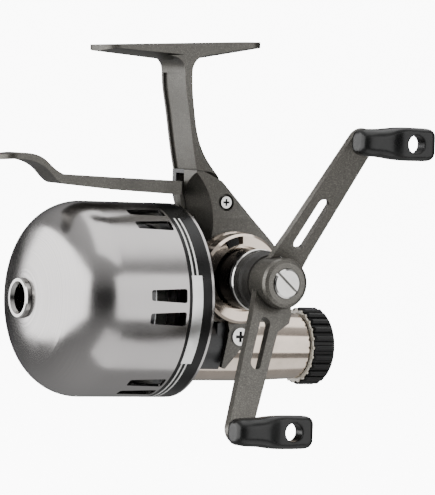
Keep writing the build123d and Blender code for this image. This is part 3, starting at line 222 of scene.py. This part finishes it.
def colour_mix(tree_nodes, links, mask, plain, marked):
    """plain where mask is 0 and marked where it is 1; each is a socket or a colour."""
    m = tree_nodes.new("ShaderNodeMix")
    m.data_type = "RGBA"
    links.new(mask, m.inputs["Factor"])
    for socket, value in ((m.inputs[6], plain), (m.inputs[7], marked)):
        if isinstance(value, tuple):
            socket.default_value = (*value, 1.0)
        else:
            links.new(value, socket)
    return m.outputs[2]


def add_marks(material, mask_of, colour, metallic=None):
    """Lay a second colour over a finished material where mask_of gives 1."""
    tree = material.node_tree
    n, links, shader = tree.nodes, tree.links, tree.nodes["Principled BSDF"]
    socket = shader.inputs["Base Color"]
    plain = socket.links[0].from_socket
    mask = mask_of(n, links, place_of(n, links))
    links.new(colour_mix(n, links, mask, plain, colour), socket)
    if metallic is not None:
        start = shader.inputs["Metallic"].default_value
        links.new(span(n, links, mask, start, metallic, 0.0, 1.0), shader.inputs["Metallic"])
    return material


def line_at(tree_nodes, links, value, place, width):
    """1 on a line of this width where value is near place."""
    m = tree_nodes.new("ShaderNodeMath")
    m.operation = "COMPARE"
    links.new(value, m.inputs[0])
    m.inputs[1].default_value = place
    m.inputs[2].default_value = width / 2
    return m.outputs["Value"]


def wound_line(name):
    """Close turns of clear line on the spool."""
    m, n, links, shader = new_material(name)
    wave = n.new("ShaderNodeTexWave")
    wave.bands_direction = "X"
    wave.inputs["Scale"].default_value = 1100.0
    wave.inputs["Distortion"].default_value = 0.6
    wave.inputs["Detail"].default_value = 1.0
    links.new(texture_space(n, links), wave.inputs["Vector"])
    base = ramp(n, links, wave.outputs["Fac"], [(0.0, (0.05, 0.05, 0.045)), (1.0, (0.14, 0.14, 0.13))])
    links.new(base, shader.inputs["Base Color"])
    shader.inputs["Roughness"].default_value = 0.25
    shader.inputs["Coat Weight"].default_value = 0.4
    bump(n, links, shader, wave.outputs["Fac"], 0.00012, 0.8)
    return m


def pressed_felt(name):
    m, n, links, shader = new_material(name)
    space = texture_space(n, links)
    fibre = noise(n, links, space, 3800, 6.0, 0.75)
    base = ramp(n, links, fibre, [(0.3, (0.10, 0.095, 0.09)), (0.7, (0.25, 0.24, 0.22))])
    links.new(base, shader.inputs["Base Color"])
    shader.inputs["Roughness"].default_value = 0.95
    bump(n, links, shader, fibre, 0.00015, 0.8)
    return m


GUNMETAL = (0.080, 0.076, 0.067)
gunmetal = metallic_paint("gunmetal_lacquer", GUNMETAL)
arm_metal = metallic_paint("handle_lacquer", tint(GUNMETAL, 1.3), speck=1.5, rough=0.4)
cone_metal = spun_metal("cone_polished", (0.40, 0.385, 0.38), 0, rough=0.21, anisotropy=0.4)
nickel = polished("nickel_plate", (0.60, 0.515, 0.435), 0.09)
plate_metal = spun_metal("plate_metal", (0.80, 0.80, 0.79), 2, rough=0.34)
chrome = polished("chrome_plate", (0.62, 0.61, 0.59), 0.10)
# painted shade: a near-black colour for the screws' driver recesses, standing in for their shadow
recess = moulded("recess_shade", (0.012, 0.012, 0.012), 0.6, 0.00001, 3000, 0.0)
steel = spun_metal("turned_steel", (0.50, 0.50, 0.50), 1, rough=0.28)
brass = spun_metal("turned_brass", (0.62, 0.45, 0.20), 0, rough=0.30)
spool_alloy = spun_metal("spool_alloy", (0.55, 0.55, 0.56), 0, rough=0.30)
black_metal = polished("black_plate", (0.022, 0.021, 0.021), 0.22)
dark_satin = moulded("dark_satin", (0.022, 0.021, 0.019), 0.38, 0.00002, 3200, 0.1, 0.4)
body_paint = metallic_paint("body_lacquer", GUNMETAL)
head_metal = moulded("head_lacquer", (0.012, 0.012, 0.012), 0.25, 0.00001, 3000, 0.5)
black_band = moulded("band_lacquer", (0.004, 0.004, 0.004), 0.30, 0.00001, 3000, 0.0, 0.22)
black_plastic = moulded("knob_plastic", (0.005, 0.005, 0.005), 0.30, 0.00003, 3000, 0.05, 0.32)
dial_rubber = moulded("dial_plastic", (0.004, 0.004, 0.004), 0.40, 0.00005, 2400, 0.0, 0.25)
gear_plastic = moulded("gear_plastic", (0.62, 0.60, 0.55), 0.45, 0.00003, 2500, 0.0)
click_plastic = moulded("click_plastic", (0.46, 0.42, 0.35), 0.25, 0.00002, 2500, 0.4)
line_material = wound_line("wound_line")
felt = pressed_felt("pressed_felt")

STRIPE = 0.0006
STRIPE_PLACES = (0.0016, 0.0032)      # behind the band's front edge
STRIPE_TOP = 0.86                     # of the cone's radius; above this the band is plain
HEAD_HIGHLIGHT_PLACE = -0.018                    # painted highlight along the spinner head's rim
HEAD_HIGHLIGHT_WIDTH = 0.0007
SEAM_PLACE = 0.0003                   # Y below which the body is coloured near-black
STEM_FRONT, STEM_FOOT = 0.0062, -0.054
band_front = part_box("label_band")[0].x


def pin_stripes(n, links, place):
    """Two fine lines round the band, below its dark top."""
    first, second = (line_at(n, links, place["X"], band_front + p, STRIPE) for p in STRIPE_PLACES)
    low = share(n, links, "LESS_THAN", place["Z"], spool_z + STRIPE_TOP * cone_radius)
    return share(n, links, "MULTIPLY", share(n, links, "MAXIMUM", first, second), low)


def dark_half(n, links, place):
    """The seam side of the body, and the front of its stem."""
    near = share(n, links, "LESS_THAN", place["Y"], SEAM_PLACE)
    before = share(n, links, "LESS_THAN", place["X"], STEM_FRONT)
    above = share(n, links, "GREATER_THAN", place["Z"], STEM_FOOT)
    front = share(n, links, "MULTIPLY", before, above)
    return share(n, links, "MAXIMUM", near, front)


add_marks(black_band, pin_stripes, (0.72, 0.72, 0.70))
# near-black on the body's seam side and on the front of its stem
add_marks(body_paint, dark_half, (0.010, 0.010, 0.011), metallic=0.0)
# painted highlight: a light line round the spinner head's rim, standing in for its edge catching the light
add_marks(
    head_metal, lambda n, links, place: line_at(n, links, place["X"], HEAD_HIGHLIGHT_PLACE, HEAD_HIGHLIGHT_WIDTH), (0.75, 0.75, 0.75)
)

look = {
    gunmetal: ("reel_foot", "side_cover", "trigger_lever", "far_cap"),
    body_paint: ("body",),
    arm_metal: ("handle_arm", "hub_cap"),
    head_metal: ("spinner_head",),
    plate_metal: ("name_plate",),
    dark_satin: ("handle_collar",),
    cone_metal: ("nose_cone",),
    nickel: ("bearing_collar", "drag_housing"),
    chrome: ("cover_screws", "handle_screw", "trim_ring", "line_guide_ring"),
    steel: (
        "main_shaft", "shaft_return_spring", "spool_clip", "pickup_pin", "pickup_spring", "pinion_bearing",
        "drive_gear", "crank_shaft", "crank_bearings", "one_way_clutch", "clutch_rollers", "clutch_hub",
        "upper_knob_pin", "lower_knob_pin", "trigger_pin", "trigger_spring", "drag_shaft", "metal_washers",
        "drag_spring",
    ),
    brass: ("thrust_block", "spinner_nut", "pinion_gear", "drag_bush", "drag_nut"),
    spool_alloy: ("spool",),
    black_metal: ("crank_sleeve",),
    black_band: ("label_band",),
    black_plastic: ("upper_knob", "lower_knob", "selector_tab", "drag_end_cap"),
    dial_rubber: ("drag_knob",),
    gear_plastic: ("spool_gear", "drag_gear", "pickup_cam"),
    click_plastic: ("click_ring",),
    line_material: ("line_winding",),
    felt: ("spool_washer", "friction_washers"),
}
for material, names in look.items():
    for name in names:
        slots = nodes[name].data.materials
        slots.clear()
        slots.append(material)


# ---------------------------------------------------------------- soft moulded pieces, and screws with painted shade in their recesses
def softened(node, body, voxel, rounds):
    """A remeshed copy of a CAD piece with every edge eased, as it comes from its mould."""
    piece = bpy.data.objects.new(node + "_moulded", nodes[node].data.copy())
    bpy.context.scene.collection.objects.link(piece)
    remesh = piece.modifiers.new("remesh", "REMESH")
    remesh.mode = "VOXEL"
    remesh.voxel_size = voxel
    ease = piece.modifiers.new("ease", "SMOOTH")
    ease.factor = 0.5
    ease.iterations = rounds
    bpy.context.view_layer.update()
    final = bpy.data.meshes.new_from_object(piece.evaluated_get(bpy.context.evaluated_depsgraph_get()))
    piece.modifiers.clear()
    piece.data = final
    for face in final.polygons:
        face.use_smooth = True
    final.materials.clear()
    final.materials.append(nodes[node].data.materials[0])
    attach(piece, body)
    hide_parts(node)
    return piece


def with_painted_recess_shade(node, body, depth):
    """A copy of the screws whose driver recess, deeper than depth below each head, is coloured near-black as
    painted shade.
    """
    piece = bpy.data.objects.new(node + "_heads", nodes[node].data.copy())
    bpy.context.scene.collection.objects.link(piece)
    piece.data.materials.append(recess)
    bm = bmesh.new()
    bm.from_mesh(piece.data)
    bmesh.ops.remove_doubles(bm, verts=bm.verts, dist=0.000001)
    left = set(bm.faces)
    while left:
        island, edge = set(), [left.pop()]
        while edge:
            face = edge.pop()
            island.add(face)
            for loop_edge in face.edges:
                for other in loop_edge.link_faces:
                    if other in left:
                        left.discard(other)
                        edge.append(other)
        points = [v.co for face in island for v in face.verts]
        top = min(p.y for p in points)
        low = Vector((min(p.x for p in points), 0, min(p.z for p in points)))
        high = Vector((max(p.x for p in points), 0, max(p.z for p in points)))
        middle, reach = (low + high) / 2, (high.x - low.x) / 2
        for face in island:
            spot = face.calc_center_median()
            away = math.hypot(spot.x - middle.x, spot.z - middle.z)
            if away < 0.72 * reach and depth < spot.y - top < 0.0014:
                face.material_index = 1
    bm.to_mesh(piece.data)
    bm.free()
    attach(piece, body)
    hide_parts(node)
    return piece


# painted shade in the cover screws' driver recesses
with_painted_recess_shade("cover_screws", "frame", 0.0003)
for side in ("upper", "lower"):
    softened(side + "_knob", side + "_paddle", 0.00025, 9)

# ---------------------------------------------------------------- studio
FLOOR_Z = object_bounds()[0][2] - 0.022
FLOOR_TURN = 30.0           # degrees, to face the camera
FLOOR_GLOW = 9.0


def soft_floor():
    """A glowing white floor that curves up into a wall behind the reel; reflections don't see it."""
    mesh = bpy.data.meshes.new("floor")
    bm = bmesh.new()
    profile = [(-1.6, 0.0), (0.9, 0.0)]
    steps = 14
    for i in range(1, steps + 1):
        a = math.pi / 2 * i / steps
        profile.append((0.9 + 0.6 * math.sin(a), 0.6 - 0.6 * math.cos(a)))
    profile.append((1.5, 2.4))
    rows = []
    for side in (-2.2, 2.2):
        rows.append([bm.verts.new((side, y, FLOOR_Z + z)) for y, z in profile])
    for a, b, c, d in zip(rows[0], rows[0][1:], rows[1][1:], rows[1]):
        bm.faces.new((a, d, c, b))
    bm.to_mesh(mesh)
    bm.free()
    obj = bpy.data.objects.new("floor", mesh)
    bpy.context.scene.collection.objects.link(obj)
    for face in mesh.polygons:
        face.use_smooth = True
    m, n, links, shader = new_material("floor_paper")
    space = texture_space(n, links)
    paper = noise(n, links, space, 6, 2.0)
    base = ramp(n, links, paper, [(0.3, (0.93, 0.93, 0.93)), (0.7, (0.96, 0.96, 0.96))])
    links.new(base, shader.inputs["Base Color"])
    shader.inputs["Roughness"].default_value = 0.9
    shader.inputs["Emission Color"].default_value = (1, 1, 1, 1)
    shader.inputs["Emission Strength"].default_value = FLOOR_GLOW
    mesh.materials.append(m)
    obj.visible_glossy = False
    obj.visible_diffuse = False
    obj.rotation_euler = (0, 0, math.radians(-FLOOR_TURN))


soft_floor()


def area_light(name, place, target, size, power, colour=(1, 1, 1)):
    light = bpy.data.lights.new(name, "AREA")
    light.shape = "RECTANGLE"
    light.size, light.size_y = size
    light.energy = power
    light.color = colour
    obj = bpy.data.objects.new(name, light)
    obj.location = place
    obj.rotation_euler = (Vector(target) - Vector(place)).to_track_quat("-Z", "Y").to_euler()
    obj.visible_camera = False
    bpy.context.scene.collection.objects.link(obj)
    return obj


centre = Vector((0.0, -0.01, spool_z + 0.02))
area_light("top_panel", (0.25, -0.10, 0.85), centre, (1.5, 0.9), 7.5)
area_light("left_panel", (-1.0, 0.20, 0.08), centre, (2.6, 1.30), 44.0)
area_light("right_panel", (0.55, -0.88, 0.02), centre, (0.90, 0.90), 5.5)
area_light("floor_glow", (0.2, -0.45, -0.75), centre, (1.0, 0.6), 2.2)
front = area_light("front_fill", (-0.35, -1.2, 0.35), centre, (0.7, 0.7), 5.0)
front.visible_glossy = False
world = bpy.context.scene.world or bpy.data.worlds.new("studio")
bpy.context.scene.world = world
world.use_nodes = True
background = world.node_tree.nodes["Background"]
sky, sky_links = world.node_tree.nodes, world.node_tree.links
around = sky.new("ShaderNodeTexCoord")
height = sky.new("ShaderNodeSeparateXYZ")
sky_links.new(around.outputs["Generated"], height.inputs["Vector"])
lit = span(sky, sky_links, height.outputs["Z"], 0.0, 1.0, -1.0, 1.0)
sky_links.new(
    ramp(sky, sky_links, lit, [
        (0.0, (0.55, 0.55, 0.55)), (0.30, (0.30, 0.30, 0.30)), (0.46, (0.03, 0.03, 0.03)),
        (0.58, (0.03, 0.03, 0.03)), (0.80, (0.50, 0.50, 0.50)), (1.0, (0.9, 0.9, 0.9)),
    ]),
    background.inputs["Color"],
)
background.inputs["Strength"].default_value = 1.0

# ---------------------------------------------------------------- camera
FRAME_HEIGHT = 495
SENSOR = 24.0
VIEW_BACK = Vector((-0.50, -0.865, 0.033)).normalized()
DISTANCE = 1.30
AIM_ALONG, AIM_ABOVE = 52.5, 52.5   # middle of the view from the spool axis, in picture units
SCALE = 3130.0              # picture units per metre at the spool axis
camera_data = bpy.data.cameras.new("camera")
camera = bpy.data.objects.new("camera", camera_data)
bpy.context.scene.collection.objects.link(camera)
bpy.context.scene.camera = camera
forward = -VIEW_BACK
right = Vector((0.866, -0.5, 0.043)).normalized()
up = right.cross(forward).normalized()
right = forward.cross(up).normalized()
aim = Vector((0, 0, spool_z)) + right * (AIM_ALONG / SCALE) + up * (AIM_ABOVE / SCALE)
camera.location = aim + VIEW_BACK * DISTANCE
camera.rotation_euler = Matrix((right, up, -forward)).transposed().to_euler()
camera_data.sensor_fit = "VERTICAL"
camera_data.sensor_height = SENSOR
camera_data.lens = SENSOR * DISTANCE * SCALE / FRAME_HEIGHT
camera_data.clip_start = 0.05
camera_data.clip_end = 20.0
